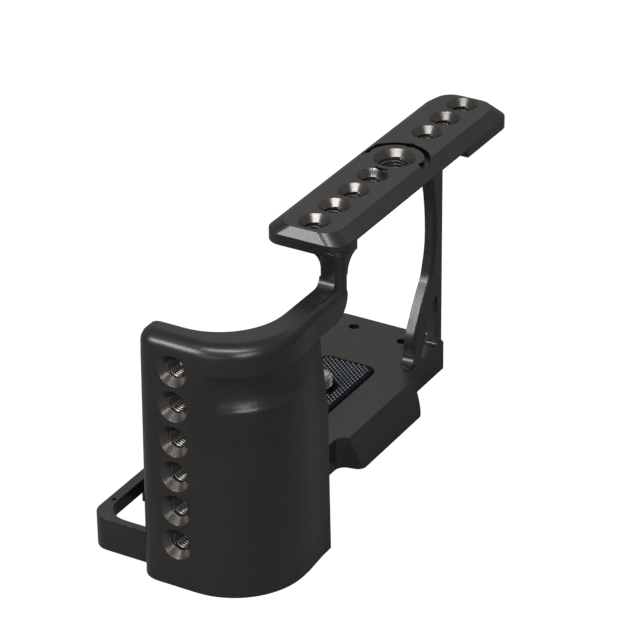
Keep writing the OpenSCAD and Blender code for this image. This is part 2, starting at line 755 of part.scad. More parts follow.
module side_arm() {
    front_ring = [for (i = [0:len(arm_outline) - 1]) let (p = arm_outline[i])
        p - arm_normals[i] * (p[1] > over && p[0] < curve_reach + over ? arm_bevel : 0)];
    window_right = arm_right - arm_strip;
    window_low = 0.2;
    window_round = 1;
    window_tip = 0.6;
    window_share = 0.58;
    color(anodised) placed() difference() {
        union() {
            translate([0, -arm_back, 0]) rotate([90, 0, 0])
                loft([ring(arm_outline, 0), ring(arm_outline, arm_thick - arm_bevel),
                    ring(front_ring, arm_thick)]);
            // Tongue under the base plate
            translate([tongue_left, -arm_back - over, -base_thick])
                cube([tongue_right - tongue_left, tongue_deep + over, tongue_thick]);
            deep(-arm_front, -arm_back) translate([foot_left, 0]) mirror([1, 0]) arm_toe();
            // Flange under the bar, with an inside fillet to the arm
            translate([arm_right - flange_long, -arm_front - flange_reach, bar_low - flange_thick])
                cube([flange_long, flange_reach + arm_thick, flange_thick]);
            across(arm_right - flange_cove_long, arm_right) translate([-arm_front, bar_low - flange_thick])
                rotate(180) cove(flange_cove);
        }
        // Triangular window beside the foot
        deep(-arm_front - over, -arm_back + over) polygon(outline([
            [window_right, -window_low, window_round], [window_right, window_high, window_tip],
            [window_right - window_high * window_share, -window_low, window_round]]));
        under(arm_bolts) flat_seat(bolt_dia, bolt_head, grip_bolt_long);
        under(arm_dowels) dowel_seat(dowel_long);
        for (p = bar_bolts) bar_bolt_place(p) flat_seat(bolt_dia, bolt_head, bar_bolt_long);
        for (p = bar_dowels) bar_bolt_place(p) dowel_seat(bar_dowel_long);
    }
}

/* Pad and camera screw */

pad_corner = 2.5;

module anti_slip_pad() {
    color(rubber) placed() translate([0, 0, -pad_thick / 2]) linear_extrude(pad_thick) difference() {
        polygon(plate(pad_size, pad_corner));
        circle(d = pad_hole);
    }
}

flute_count = 24;
flute = 0.9;
flute_share = 0.2;
screw_tip = 0.8;
slot_deep = 1.3;
socket_dia = 4.6;
socket_deep_share = 0.8;
head_top = pocket_roof - washer_thick - 2 * fit;

module camera_screw() {
    color(steel) placed() difference() {
        union() {
            // Thread, neck and head
            cylinder(h = screw_stand - screw_tip, d = screw_dia);
            translate([0, 0, screw_stand - screw_tip])
                cylinder(h = screw_tip, d1 = screw_dia, d2 = screw_dia - 2 * screw_tip);
            translate([0, 0, head_top - over]) cylinder(h = over - head_top + over, d = neck_dia);
            translate([0, 0, head_top - head_high]) linear_extrude(head_high) difference() {
                circle(d = head_dia);
                for (i = [0:flute_count - 1]) rotate(360 * i / flute_count)
                    translate([head_dia / 2 + flute * flute_share, 0]) circle(d = flute, $fn = 8);
            }
        }
        // Coin slot and hexagon socket
        translate([-head_dia, -flute, head_top - head_high - over])
            cube([2 * head_dia, 2 * flute, over + slot_deep]);
        translate([0, 0, head_top - head_high - over])
            cylinder(h = over + head_high * socket_deep_share, d = socket_dia, $fn = 6);
    }
}

washer_in = 0.5;

module screw_washer() {
    color(nylon) placed() translate([0, 0, pocket_roof - washer_thick - fit]) difference() {
        cylinder(h = washer_thick, d = head_dia - 2 * washer_in);
        translate([0, 0, -over]) cylinder(h = washer_thick + 2 * over, d = neck_dia + 3 * fit);
    }
}

/* Fasteners in place */

module grip_screw(i) {
    color(black_steel) placed() under([grip_bolts[i]]) flat_screw(bolt_dia, bolt_head, grip_bolt_long);
}

module arm_screw(i) {
    color(black_steel) placed() under([arm_bolts[i]]) flat_screw(bolt_dia, bolt_head, grip_bolt_long);
}

module bar_screw(i) {
    color(black_steel) placed() bar_bolt_place(bar_bolts[i]) flat_screw(bolt_dia, bolt_head, bar_bolt_long);
}

module rail_screw(i) {
    color(black_steel) placed() rail_bolt_place(i) flat_screw(small_bolt, small_head, rail_bolt_long);
}

module end_screw() {
    color(black_steel) placed() end_bolt_place() flat_screw(small_bolt, small_head, end_bolt_long);
}

module grip_dowel(i) {
    color(steel) placed() under([grip_dowels[i]]) dowel(dowel_long);
}

module arm_dowel(i) {
    color(steel) placed() under([arm_dowels[i]]) dowel(dowel_long);
}

module bar_dowel(i) {
    color(steel) placed() bar_bolt_place(bar_dowels[i]) dowel(bar_dowel_long);
}

base_plate();
grip_shell();
top_bar();
side_arm();
anti_slip_pad();
camera_screw();
screw_washer();
grip_screw(0);  // grip_screw_front
grip_screw(1);  // grip_screw_back
grip_dowel(0);  // grip_dowel_left
grip_dowel(1);  // grip_dowel_right
end_screw();
rail_screw(0);  // rail_screw_right
rail_screw(1);  // rail_screw_left
arm_screw(0);  // arm_screw_left
arm_screw(1);  // arm_screw_right
arm_dowel(0);  // arm_dowel_left
arm_dowel(1);  // arm_dowel_right
bar_screw(0);  // bar_screw_left
bar_screw(1);  // bar_screw_right
bar_dowel(0);  // bar_dowel_left
bar_dowel(1);  // bar_dowel_right
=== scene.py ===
# %% [markdown]
# # A camera cage in satin black
#
# A cage is a metal frame that bolts to the underside of a camera and gives it
# threaded holes to hang other things on. This one is milled from four pieces of
# aluminium, blasted with fine beads and anodised black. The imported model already
# holds every piece at its true size and place. This lesson dresses it: smooth
# shading, finishes, the threads that are too fine for the construction model,
# the mesh face of the rubber pad, light and a camera.

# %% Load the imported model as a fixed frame
import json
import math
import bpy
from mathutils import Matrix, Vector

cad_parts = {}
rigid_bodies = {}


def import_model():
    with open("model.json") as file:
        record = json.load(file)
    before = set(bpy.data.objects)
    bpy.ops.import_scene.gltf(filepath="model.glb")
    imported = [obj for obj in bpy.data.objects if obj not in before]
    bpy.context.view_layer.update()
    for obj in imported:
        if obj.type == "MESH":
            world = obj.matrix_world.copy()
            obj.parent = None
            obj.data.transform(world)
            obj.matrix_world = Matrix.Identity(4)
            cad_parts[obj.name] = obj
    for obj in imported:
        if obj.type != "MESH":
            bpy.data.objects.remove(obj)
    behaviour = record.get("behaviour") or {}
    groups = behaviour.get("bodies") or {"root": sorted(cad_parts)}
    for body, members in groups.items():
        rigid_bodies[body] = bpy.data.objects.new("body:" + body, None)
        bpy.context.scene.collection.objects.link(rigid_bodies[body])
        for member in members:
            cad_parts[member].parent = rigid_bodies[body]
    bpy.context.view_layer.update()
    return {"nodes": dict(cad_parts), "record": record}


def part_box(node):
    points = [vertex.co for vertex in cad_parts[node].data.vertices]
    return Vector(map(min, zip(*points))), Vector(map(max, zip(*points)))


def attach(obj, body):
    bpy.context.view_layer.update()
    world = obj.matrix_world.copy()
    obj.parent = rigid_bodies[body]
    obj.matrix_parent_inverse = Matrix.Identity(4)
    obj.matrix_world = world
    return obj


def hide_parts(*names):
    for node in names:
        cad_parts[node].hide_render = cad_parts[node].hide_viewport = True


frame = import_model()
mounts = {mount["name"]: mount for mount in frame["record"]["mounts"]}
print("pieces in the frame:", len(frame["nodes"]))

# %% [markdown]
# ## Sizes
#
# Lengths are written in millimetres and turned to metres by one factor. Places
# come from the frame, so that nothing has to be fitted by eye: the pad is sunk
# by half its thickness, so its middle lies at the top of the base plate, and the
# camera screw's axis is the datum.

# %% Sizes and places
MM = 0.001
# Bevelled mouth of a hole, and the small bevel at its far end
MOUTH_DEEP = 1.75 * MM
MOUTH_SMALL = 0.5 * MM
BAR_THICK = 5.5 * MM
FLANK_THICK = 7.8 * MM
# How far the flank leans in over its height
FLANK_LEAN = 0.8 * MM
# The threads in the underside stop short of the bottom of their holes
TRIPOD_DEEP = 6.0 * MM

pad_low, pad_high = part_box("anti_slip_pad")
screw_low, screw_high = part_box("camera_screw")
base_top = (pad_low.z + pad_high.z) / 2
datum = (screw_low + screw_high) / 2
datum.z = base_top
print("datum of the cage in mm:", [round(c / MM, 2) for c in datum])

# %% [markdown]
# ## Four small helpers
#
# Operators act on whatever is selected, so each step first clears the selection
# and picks one object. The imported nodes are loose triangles, each face on its
# own. They could be shaded as they are, but then every round face shows its
# flats. A copy that merges them can be shaded smooth, so that round faces look
# round while flat ones stay flat. The copy then stands for its node.

# %% Picking an object, and finishing a piece
def pick(obj):
    """Makes obj the only selected and active object."""
    bpy.ops.object.select_all(action="DESELECT")
    obj.select_set(True)
    bpy.context.view_layer.objects.active = obj


def settle(obj, material, body):
    """Gives a finished piece its material and its body."""
    obj.data.materials.clear()
    obj.data.materials.append(material)
    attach(obj, body)


print("helpers: pick, settle")

# %% Copying a node, and shading it
MERGE_WITHIN = 0.0005 * MM


def merged_copy(node, name):
    """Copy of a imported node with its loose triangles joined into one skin."""
    copy = bpy.data.objects.new(name, frame["nodes"][node].data.copy())
    bpy.context.scene.collection.objects.link(copy)
    pick(copy)
    if copy.data.has_custom_normals:
        bpy.ops.mesh.customdata_custom_splitnormals_clear()
    bpy.ops.object.mode_set(mode="EDIT")
    bpy.ops.mesh.select_all(action="SELECT")
    bpy.ops.mesh.remove_doubles(threshold=MERGE_WITHIN)
    bpy.ops.object.mode_set(mode="OBJECT")
    return copy


def smooth(obj, angle):
    """Round faces smooth, edges sharper than angle kept, flat faces kept flat."""
    pick(obj)
    bpy.ops.object.shade_smooth_by_angle(angle=math.radians(angle))
    weighted = obj.modifiers.new("weighted normals", "WEIGHTED_NORMAL")
    weighted.keep_sharp = True
    bpy.ops.object.modifier_apply(modifier=weighted.name)


print("helpers: merged_copy, smooth")

# %% [markdown]
# ## Colours and nodes
#
# Colours are written as sRGB hex values, the way a picture editor shows them,
# and one function turns them to the linear values that the shader wants. One
# more function adds a node with its settings and links, whatever its kind, so
# that a material reads as a short list of nodes.

# %% Helpers for materials
# The part of a noise's range in which nearly all of it lies
NOISE_LOW, NOISE_HIGH = 0.3, 0.7


def linear(hex_colour):
    """Linear RGBA from an sRGB colour such as #2b2929."""
    channels = [int(hex_colour[i:i + 2], 16) / 255 for i in (1, 3, 5)]
    return [c / 12.92 if c <= 0.04045 else ((c + 0.055) / 1.055) ** 2.4 for c in channels] + [1]


def add(tree, kind, settings=None, links=None):
    """Adds one node: settings go to its properties or sockets, links to its sockets."""
    node = tree.nodes.new(kind)
    for key, value in (settings or {}).items():
        if isinstance(key, str) and hasattr(node, key):
            setattr(node, key, value)
        else:
            node.inputs[key].default_value = value
    for key, socket in (links or {}).items():
        tree.links.new(socket, node.inputs[key])
    return node


def start_material(name):
    """New material with an empty tree, and its object coordinates."""
    material = bpy.data.materials.new(name)
    material.use_nodes = True
    tree = material.node_tree
    tree.nodes.clear()
    return material, tree, add(tree, "ShaderNodeTexCoord").outputs["Object"]


def finish_material(tree, settings, links):
    """Closes a tree with its surface shader and output."""
    surface = add(tree, "ShaderNodeBsdfPrincipled", settings, links)
    add(tree, "ShaderNodeOutputMaterial", None, {"Surface": surface.outputs["BSDF"]})


print("photo's mid tone, linear:", [round(c, 4) for c in linear("#2b2929")[:3]])

# %% [markdown]
# ## Black anodised aluminium
#
# Anodising grows a hard, clear oxide layer, dyed black, on the metal. The blast
# before it leaves a surface of tiny dents, so reflections are soft. The dye
# takes a touch differently from place to place, and handling polishes the edges
# a little. The real dents are about 0.05 mm across, too fine to show here, so
# the grain is drawn at 0.25 mm. A Bevel node rounds the look of the edges by the
# 0.22 mm that deburring takes off. Real bevels would do the same, but they
# would cost thousands of faces for a line that is one pixel wide.

# %% Material: anodised aluminium
GRIT = 0.25 * MM
DENT_DEEP = 0.02 * MM
DYE_PATCH = 9 * MM
DYE_RANGE = (0.35, 0.75)
DEBURR = 0.22 * MM
# Pointiness of a mesh from which an edge counts as rubbed
RUB_RANGE = (0.52, 0.62)
MOST_WORN = 0.35
# How much smoother and rougher than its middle the blasted metal gets
GRIT_SMOOTHER, GRIT_ROUGHER = 0.04, 0.05
OXIDE_SHINE = 0.8


def anodised(name, colour, worn_colour, metallic, roughness, grain):
    """Black anodised aluminium; grain is the strength of the blasted dents."""
    material, tree, place = start_material(name)
    dye = add(tree, "ShaderNodeTexNoise", {"Scale": 1 / DYE_PATCH, "Detail": 3.0},
              {"Vector": place})
    grit = add(tree, "ShaderNodeTexNoise", {"Scale": 1 / GRIT, "Detail": 2.0}, {"Vector": place})
    amount = add(tree, "ShaderNodeMapRange",
                 {1: DYE_RANGE[0], 2: DYE_RANGE[1], 3: 0.0, 4: MOST_WORN}, {0: dye.outputs["Fac"]})
    tone = add(tree, "ShaderNodeMix",
               {"data_type": "RGBA", 6: linear(colour), 7: linear(worn_colour)},
               {0: amount.outputs[0]})
    edge = add(tree, "ShaderNodeNewGeometry")
    wear = add(tree, "ShaderNodeMapRange",
               {1: RUB_RANGE[0], 2: RUB_RANGE[1], 3: 0.0, 4: MOST_WORN},
               {0: edge.outputs["Pointiness"]})
    rubbed = add(tree, "ShaderNodeMix", {"data_type": "RGBA", 7: linear(worn_colour)},
                 {0: wear.outputs[0], 6: tone.outputs[2]})
    rough = add(tree, "ShaderNodeMapRange",
                {1: NOISE_LOW, 2: NOISE_HIGH,
                 3: roughness - GRIT_SMOOTHER, 4: roughness + GRIT_ROUGHER},
                {0: grit.outputs["Fac"]})
    round_edge = add(tree, "ShaderNodeBevel", {"samples": 6, "Radius": DEBURR})
    dents = add(tree, "ShaderNodeBump", {"Strength": grain, "Distance": DENT_DEEP},
                {"Height": grit.outputs["Fac"], "Normal": round_edge.outputs["Normal"]})
    finish_material(tree, {"Metallic": metallic, "Specular IOR Level": OXIDE_SHINE},
                    {"Base Color": rubbed.outputs[2], "Roughness": rough.outputs[0],
                     "Normal": dents.outputs["Normal"]})
    return material


# Blasted before the dye: an even satin black with soft highlights
blasted = anodised("anodised_aluminium_blasted", "#292726", "#3b3937",
                   metallic=0.5, roughness=0.29, grain=0.05)
# Turned after the blast: a lighter, shinier cone at the mouth of each hole
turned = anodised("anodised_aluminium_turned", "#595653", "#716d69",
                  metallic=0.9, roughness=0.25, grain=0.02)
# Painted shade: the faces of the narrow, deep milled groove are coloured nearly black for the
# little light that gets in
milled_painted_shade = anodised("anodised_aluminium_milled_painted_shade", "#0d0c0c", "#161514",
                  metallic=0.5, roughness=0.32, grain=0.04)
print("finishes:", blasted.name, turned.name, milled_painted_shade.name)

# %% [markdown]
# ## Steel
#
# The camera screw is turned stainless steel: the lathe leaves rings round its
# axis, drawn here as a fine wave along z. The hidden screws and dowels are black
# oxide steel, a dull blue black. One function serves both, because only colour,
# gloss and the depth of the tool marks differ.

# %% Material: turned steel
# The rings are 0.22 mm apart
TOOL_MARK = 0.07 * math.pi * MM
TOOL_MARK_DEEP = 0.01 * MM
TOOL_WOBBLE = 0.6
# A wave texture of scale 1 repeats after this many metres
WAVE_REPEAT = math.pi / 10
STEEL_EDGE = 0.08 * MM
STEEL_PATCH = 2 * MM
STEEL_SMOOTHER, STEEL_ROUGHER = 0.05, 0.08


def metal(name, colour, roughness, metallic, mark):
    """Turned metal with tool marks round the z axis; mark is their strength."""
    material, tree, place = start_material(name)
    rings = add(tree, "ShaderNodeTexWave",
                {"bands_direction": "Z", "Scale": WAVE_REPEAT / TOOL_MARK,
                 "Distortion": TOOL_WOBBLE}, {"Vector": place})
    cloud = add(tree, "ShaderNodeTexNoise", {"Scale": 1 / STEEL_PATCH}, {"Vector": place})
    rough = add(tree, "ShaderNodeMapRange",
                {1: NOISE_LOW, 2: NOISE_HIGH,
                 3: roughness - STEEL_SMOOTHER, 4: roughness + STEEL_ROUGHER},
                {0: cloud.outputs["Fac"]})
    edges = add(tree, "ShaderNodeBevel", {"samples": 4, "Radius": STEEL_EDGE})
    marks = add(tree, "ShaderNodeBump", {"Strength": mark, "Distance": TOOL_MARK_DEEP},
                {"Height": rings.outputs["Fac"], "Normal": edges.outputs["Normal"]})
    finish_material(tree, {"Base Color": linear(colour), "Metallic": metallic},
                    {"Roughness": rough.outputs[0], "Normal": marks.outputs["Normal"]})
    return material


# Bright, with a crisp highlight on each crest
stainless = metal("stainless_steel_turned", "#c9c7c3", roughness=0.26, metallic=1.0, mark=0.3)
# Dull and blue black, darker than the blasted metal round it
oxide = metal("black_oxide_steel", "#3a3b3f", roughness=0.42, metallic=0.85, mark=0.2)
print("finishes:", stainless.name, oxide.name)

# %% [markdown]
# ## Rubber and nylon
#
# The pad is moulded rubber, soft and matt. Its web between the pips is the
# rubber's black, darkened further as painted shade, while the tops of the pips
# are coloured blue grey as a painted highlight.
# The washer is natural nylon, milky and a little glossy. All three leave a mould
# with a fine grain and slight patches of tone.

# %% Material: moulded rubber and nylon
MOULD_GRAIN = 0.3 * MM
MOULD_GRAIN_DEEP = 0.03 * MM
# A patch of tone is a little over 3 mm across
MOULD_PATCH = MM / 0.3
MOULD_SPREAD = 0.06


def moulded(name, colour, light_colour, roughness, grain, shine=0.5):
    """Moulded rubber or plastic; grain is the strength of its fine texture."""
    material, tree, place = start_material(name)
    cloud = add(tree, "ShaderNodeTexNoise", {"Scale": 1 / MOULD_PATCH, "Detail": 3.0},
                {"Vector": place})
    fine = add(tree, "ShaderNodeTexNoise", {"Scale": 1 / MOULD_GRAIN, "Detail": 2.0},
               {"Vector": place})
    tone = add(tree, "ShaderNodeMix",
               {"data_type": "RGBA", 6: linear(colour), 7: linear(light_colour)},
               {0: cloud.outputs["Fac"]})
    bumps = add(tree, "ShaderNodeBump", {"Strength": grain, "Distance": MOULD_GRAIN_DEEP},
                {"Height": fine.outputs["Fac"]})
    rough = add(tree, "ShaderNodeMapRange",
                {1: NOISE_LOW, 2: NOISE_HIGH,
                 3: roughness - MOULD_SPREAD, 4: roughness + MOULD_SPREAD},
                {0: fine.outputs["Fac"]})
    finish_material(tree, {"Metallic": 0.0, "Specular IOR Level": shine},
                    {"Base Color": tone.outputs[2], "Roughness": rough.outputs[0],
                     "Normal": bumps.outputs["Normal"]})
    return material


# The web between the pips: the rubber's black with painted shade, hardly any gloss
pad_web_black_and_painted_shade = moulded("moulded_rubber_web_black_and_painted_shade", "#050506", "#0a0a0c",
                  roughness=0.75, grain=0.15, shine=0.15)
# The tops of the pips: blue grey dots, a painted highlight
pad_pips_painted_highlight = moulded("moulded_rubber_pips_painted_highlight", "#5a5d68", "#777b88", roughness=0.40, grain=0.3)
# The washer: milky and smooth
nylon = moulded("natural_nylon", "#cfcabd", "#dedacd", roughness=0.5, grain=0.15)
print("finishes:", pad_web_black_and_painted_shade.name, pad_pips_painted_highlight.name, nylon.name)

# %% [markdown]
# ## Where the holes are
#
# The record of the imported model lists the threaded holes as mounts: a point
# inside the hole, the direction out of it, and for a row of holes their number
# and step. Reading the places from it keeps the lesson right when the cage
# changes. A mount's point lies a little below the surface, so it is first moved
# out to the mouth.

# %% Mouths of the holes
AXES = (Vector((1, 0, 0)), Vector((0, 1, 0)), Vector((0, 0, 1)))
# How far the flank's mount points lie below its face
FLANK_IN = 3.6 * MM


def mouths(to_face, *names):
    """Middles of the mouths of some mounts' holes, with the direction out of each."""
    places = []
    for name in names:
        mount = mounts[name]
        out, dims = Vector(mount["axis"]), mount["dims"]
        across = [axis for axis in AXES if abs(axis.dot(out)) < 0.5]
        along = across[0] if "spacing_x_mm" in dims else across[1]
        step = dims.get("spacing_x_mm", dims.get("spacing_y_mm", 0)) * MM
        count = dims.get("count", 1)
        middle = Vector(mount["pos_m"]) + out * to_face
        places += [(middle + along * step * (i - (count - 1) / 2), out) for i in range(count)]
    return places


to_bar_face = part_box("top_bar")[1].z - mounts["bar_centre_thread"]["pos_m"][2]
to_base_face = mounts["tripod_centre_thread"]["pos_m"][2]
quarter_bar = mouths(to_bar_face, "bar_pair_grip_end", "bar_pair_grip_side", "bar_pair_arm_side",
                     "bar_thread_arm_end")
centre_bar = mouths(to_bar_face, "bar_centre_thread")
flank = mouths(FLANK_IN, "flank_pair_low", "flank_pair_middle", "flank_pair_high")
quarter_base = mouths(to_base_face, "tripod_quarter_threads")
centre_base = mouths(to_base_face, "tripod_centre_thread")
quarter_bore = mounts["flank_pair_low"]["dims"]["hole_r_mm"] * MM
centre_bore = mounts["bar_centre_thread"]["dims"]["r_mm"] * MM
print("threaded holes:", len(quarter_bar + centre_bar + flank + quarter_base + centre_base))

# %% [markdown]
# ## The four machined pieces
#
# Each large piece becomes one smooth skin over its node. The bevel round the
# mouth of a hole is turned after the blast, so it is shinier than the rest. It
# could be painted by a mask in the material, but a second material slot is
# simpler and survives every export. Its faces are found by their place: they lie
# round the hole's axis, within the depth of the bevel, and they face half along
# that axis.

# %% Turned faces at the mouths of the holes
SLANT_LOW, SLANT_HIGH = 0.5, 0.9
# A face's middle may lie this much past the bevel's own reach
SPARE = 1.1


def mark_mouths(obj, holes, bore):
    """Gives the bevelled mouths of the holes the second material."""
    reach = bore + MOUTH_DEEP * SPARE
    for polygon in obj.data.polygons:
        for place, out in holes:
            away = polygon.center - place
            depth = -away.dot(out)
            radius = (away + out * depth).length
            is_slanted = SLANT_LOW < polygon.normal.dot(out) < SLANT_HIGH
            if is_slanted and bore < radius < reach and depth < MOUTH_DEEP + FLANK_LEAN:
                polygon.material_index = 1


print("a mouth's faces lie", round(quarter_bore / MM, 2), "to",
      round((quarter_bore + MOUTH_DEEP * SPARE) / MM, 2), "mm from the axis")

# %% Skins over the machined pieces
# Edges sharper than this many degrees stay sharp
MACHINED_ANGLE = 24
# The shell is built up of rings, and takes more to look round
SHELL_ANGLE = 32


def skin(node, holes_and_bores, angle=MACHINED_ANGLE):
    """Smooth copy of a machined piece that stands for its node."""
    obj = merged_copy(node, node + "_skin")
    smooth(obj, angle)
    settle(obj, blasted, "cage")
    obj.data.materials.append(turned)
    for holes, bore in holes_and_bores:
        mark_mouths(obj, holes, bore)
    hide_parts(node)
    turned_faces = sum(polygon.material_index == 1 for polygon in obj.data.polygons)
    print(node, "skin:", len(obj.data.polygons), "faces,", turned_faces, "of them turned")
    return obj


skin("base_plate", [])
shell_skin = skin("grip_shell", [(flank, quarter_bore)], SHELL_ANGLE)
bar_skin = skin("top_bar", [(quarter_bar, quarter_bore), (centre_bar, centre_bore)])
arm_skin = skin("side_arm", [])

# %% [markdown]
# ## Two softer forms
#
# The finger scoop and the arm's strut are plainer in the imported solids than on
# the real object. Both could be sculpted by hand, but a lesson has to give the
# same result each time. So level cuts first give each skin points to bend by,
# and a short rule then moves the points.

# %% Level cuts
def ease(share):
    """Soft step from 0 to 1."""
    share = min(max(share, 0.0), 1.0)
    return share * share * (3 - 2 * share)


def cut_levels(obj, heights):
    """Cuts a skin level at each height, and leaves its surface as it was."""
    pick(obj)
    bpy.ops.object.mode_set(mode="EDIT")
    for height in heights:
        bpy.ops.mesh.select_all(action="SELECT")
        bpy.ops.mesh.bisect(plane_co=(0, 0, height), plane_no=(0, 0, 1))
    bpy.ops.object.mode_set(mode="OBJECT")
    print(obj.name, "after", len(heights), "level cuts:", len(obj.data.vertices), "points")


print("halfway along a soft step:", ease(0.5))

# %% [markdown]
# The finger scoop wraps round the shell's front left corner, under the collar.
# On the real shell it ends there as a pocket with a crisp lower edge, which
# catches the light from above. Points between the collar and that edge are
# pushed in against their own normals. The push grows from the pocket's left end
# and fades out along the front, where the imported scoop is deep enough.

# %% The finger scoop's pocket
# Heights of the collar's underside and of the pocket's lower edge
SCOOP_TOP = 63.55 * MM
SCOOP_LOW = 53.6 * MM
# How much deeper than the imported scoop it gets
SCOOP_MORE = 1.0 * MM
# Power of the pocket's section: the higher, the flatter its floor and the crisper its edge
SCOOP_FULL = 5.0
# Heights of the cuts above the lower edge, close together where the floor turns up
SCOOP_CUTS_MM = (0.0, 0.25, 0.5, 0.75, 1.0, 1.4, 1.8, 2.4, 3.2, 4.5)
# The pocket's end on the flank, where it begins to fade along the front, and the
# run over which it grows or fades
POCKET_END, POCKET_END_RUN = -11.5 * MM, 6 * MM
POCKET_FADE, POCKET_FADE_RUN = -54 * MM, 16 * MM
# A point inside the hollow, and the least level part of a normal that counts as a wall
HOLLOW_MIDDLE = Vector((-45 * MM, -8 * MM))
WALL = 0.5

cut_levels(shell_skin, [SCOOP_LOW + step * MM for step in SCOOP_CUTS_MM])
moved = 0
for vertex in shell_skin.data.vertices:
    place, out = vertex.co, vertex.normal.copy()
    out.z = 0
    faces_out = out.xy.dot(place.xy - HOLLOW_MIDDLE) > 0 and out.length > WALL
    if faces_out and SCOOP_LOW < place.z < SCOOP_TOP:
        grown = ease((POCKET_END - place.y) / POCKET_END_RUN)
        share = grown * (1 - ease((place.x - POCKET_FADE) / POCKET_FADE_RUN))
        across = (SCOOP_TOP - place.z) / (SCOOP_TOP - SCOOP_LOW)
        vertex.co -= out.normalized() * SCOOP_MORE * share * (1 - across ** SCOOP_FULL)
        moved += share > 0
print("points of the scoop's pocket:", moved)

# %% [markdown]
# The arm beside the lens is one curve from its foot to the bar. In the packed
# solid its lower part is straight and meets the arch in a knee. The bow pushes
# the strut towards the lens, most at the knee and not at all at either end. The
# straight post behind the window is left where it is.

# %% The bow of the arm's strut
BOW = 1.4 * MM
# Height of the knee, and how far the bow reaches above and below it
BOW_MIDDLE, BOW_REACH = 27.5 * MM, 17 * MM
BOW_STEPS = 16
# Where the straight post begins, and the run before it over which the push ends
POST_FACE, POST_BLEND = 61 * MM, 2 * MM

cut_levels(arm_skin, [BOW_MIDDLE + BOW_REACH * (2 * step / BOW_STEPS - 1)
                      for step in range(1, BOW_STEPS)])
for vertex in arm_skin.data.vertices:
    away = abs(vertex.co.z - BOW_MIDDLE) / BOW_REACH
    if away < 1:
        off_post = min(max((POST_FACE - vertex.co.x) / POST_BLEND, 0), 1)
        vertex.co.x -= BOW * off_post * math.cos(away * math.pi / 2) ** 2
print("bow of the strut in mm:", round(BOW / MM, 2))

# %% [markdown]
# The groove round the bar's centre hole takes the pins of an accessory that must
# not turn. It is cut with a small end mill after the blast. Little light gets
# into it, so its cut faces are coloured nearly black as painted shade. They are
# found by their distance from the hole's axis and their depth below the bar's top.

# %% The milled groove round the centre hole, coloured as painted shade
GROOVE_DEEP = 1.4 * MM
GROOVE_IN, GROOVE_OUT = 6.6 * MM, 10.2 * MM
# Share of the depth at which the groove's own faces begin
GROOVE_FROM = 0.2

# Painted shade: the groove's faces take the near-black material
bar_skin.data.materials.append(milled_painted_shade)
for polygon in bar_skin.data.polygons:
    away = polygon.center - centre_bar[0][0]
    in_ring = GROOVE_IN < away.xy.length < GROOVE_OUT
    if in_ring and -GROOVE_DEEP * SPARE < away.z < -GROOVE_DEEP * GROOVE_FROM:
        polygon.material_index = 2
print("milled faces:", sum(polygon.material_index == 2 for polygon in bar_skin.data.polygons))

# %% [markdown]
# ## Threads
#
# A thread is one ridge wound up a cylinder. The ridge's section is a plane whose
# four corners are moved to make a flat-topped tooth in the xz plane. Only its
# outline is kept, and a Screw modifier winds that outline upwards. The two open
# ends are filled. A bump in the material would be cheaper, but a thread is seen
# against the light in its hole, and only real teeth give it that outline.

# %% One wound ridge
RIDGE_STEPS = 28
RIDGE_ANGLE = 25
RIDGE_MERGE = 0.001 * MM
# Shares of the pitch: half the tooth's width at foot and crest, its middle, and its run-out
TOOTH_FOOT, TOOTH_CREST, TOOTH_MIDDLE, TOOTH_RUN_OUT = 0.42, 0.1, 0.4, 0.8


def ridge(name, foot, crest, pitch, length):
    """Thread ridge about the z axis from z = 0 up, from radius foot to radius crest."""
    turns = (length - pitch * TOOTH_RUN_OUT) / pitch
    bpy.ops.object.select_all(action="DESELECT")
    bpy.ops.mesh.primitive_plane_add(size=2)
    obj = bpy.context.object
    obj.name = name
    for vertex in obj.data.vertices:
        at_foot = vertex.co.x < 0
        half = pitch * (TOOTH_FOOT if at_foot else TOOTH_CREST)
        height = pitch * TOOTH_MIDDLE + math.copysign(half, vertex.co.y)
        vertex.co = Vector((foot if at_foot else crest, 0, height))
    bpy.ops.object.mode_set(mode="EDIT")
    bpy.ops.mesh.select_all(action="SELECT")
    bpy.ops.mesh.delete(type="ONLY_FACE")
    bpy.ops.object.mode_set(mode="OBJECT")
    wind = obj.modifiers.new("wind", "SCREW")
    wind.angle = 2 * math.pi * turns
    wind.screw_offset = pitch * turns
    wind.steps = wind.render_steps = round(RIDGE_STEPS * turns)
    wind.use_merge_vertices = False
    bpy.ops.object.modifier_apply(modifier=wind.name)
    bpy.ops.object.mode_set(mode="EDIT")
    bpy.ops.mesh.select_all(action="SELECT")
    bpy.ops.mesh.remove_doubles(threshold=RIDGE_MERGE)
    bpy.ops.mesh.fill_holes(sides=4)
    bpy.ops.mesh.select_all(action="SELECT")
    bpy.ops.mesh.normals_make_consistent(inside=False)
    bpy.ops.object.mode_set(mode="OBJECT")
    bpy.ops.object.shade_smooth_by_angle(angle=math.radians(RIDGE_ANGLE))
    return obj


print("faces in one turn of a ridge:", RIDGE_STEPS * 4)

# %% [markdown]
# The same ridge is copied into every hole of a row. Inside a hole the tooth
# points to the axis, so its crest has the smaller radius. A quarter inch thread
# has a pitch of 1.27 mm, but the rings in the photograph's holes are closer, and
# they are drawn as the photograph shows them.

# %% Threads in the holes
RING_PITCH = 0.85 * MM
# How far a tooth's foot is sunk in the wall, and its height as a share of the pitch
FOOT_SUNK = 0.08 * MM
TOOTH_HIGH = 0.42
FLANK_START = 0.1 * MM


